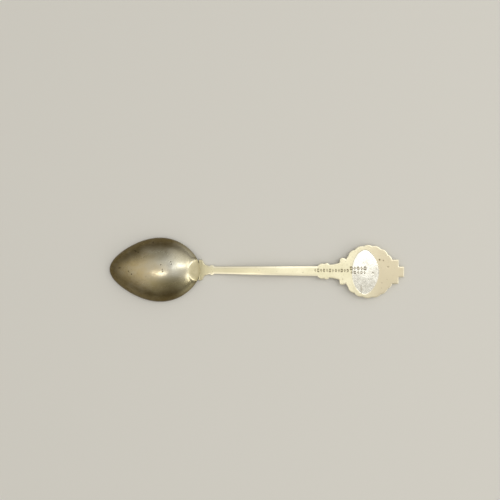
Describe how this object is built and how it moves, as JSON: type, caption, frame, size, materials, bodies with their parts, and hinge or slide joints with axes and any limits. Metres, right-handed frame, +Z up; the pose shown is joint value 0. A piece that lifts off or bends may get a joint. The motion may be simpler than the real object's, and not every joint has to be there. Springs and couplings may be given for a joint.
{
  "type": "souvenir spoon",
  "caption": "Souvenir teaspoon with an egg-shaped plated bowl, a slim arched stem and a scalloped disc finial with a stepped crown and an oval enamelled landscape badge.",
  "frame": {"origin": "bottom centre of the spoon lying face down, on the surface that the bowl's rim and the badge's dome rest on", "axes": "+X from the bowl's tip to the finial's crown, +Y across, +Z up out of the spoon's back"},
  "size_m": [0.115, 0.025, 0.0076],
  "materials": {
    "silver_plate": "polished silver plate, worn and tarnished brown towards the edge",
    "nickel_silver": "satin nickel silver with bright worn edges",
    "solder": "dull grey solder",
    "badge_metal": "polished gilt brass",
    "enamel_navy": "glossy dark blue enamel",
    "enamel_sky": "glossy pale blue enamel",
    "enamel_green": "glossy green enamel",
    "enamel_sea": "glossy sea blue enamel",
    "enamel_yellow": "glossy yellow enamel",
    "enamel_white": "glossy white enamel",
    "clear_resin": "clear cast resin"
  },
  "bodies": {
    "root": {"bowl": "silver_plate", "bowl_braze": "solder", "handle": "nickel_silver", "ribbon_enamel": "enamel_navy", "badge_solder": "solder", "badge_plate": "badge_metal", "enamel_sky": "enamel_sky", "enamel_hills": "enamel_green", "enamel_sea": "enamel_sea", "enamel_sun": "enamel_yellow", "enamel_sail": "enamel_white", "badge_dome": "clear_resin"}
  },
  "joints": []
}
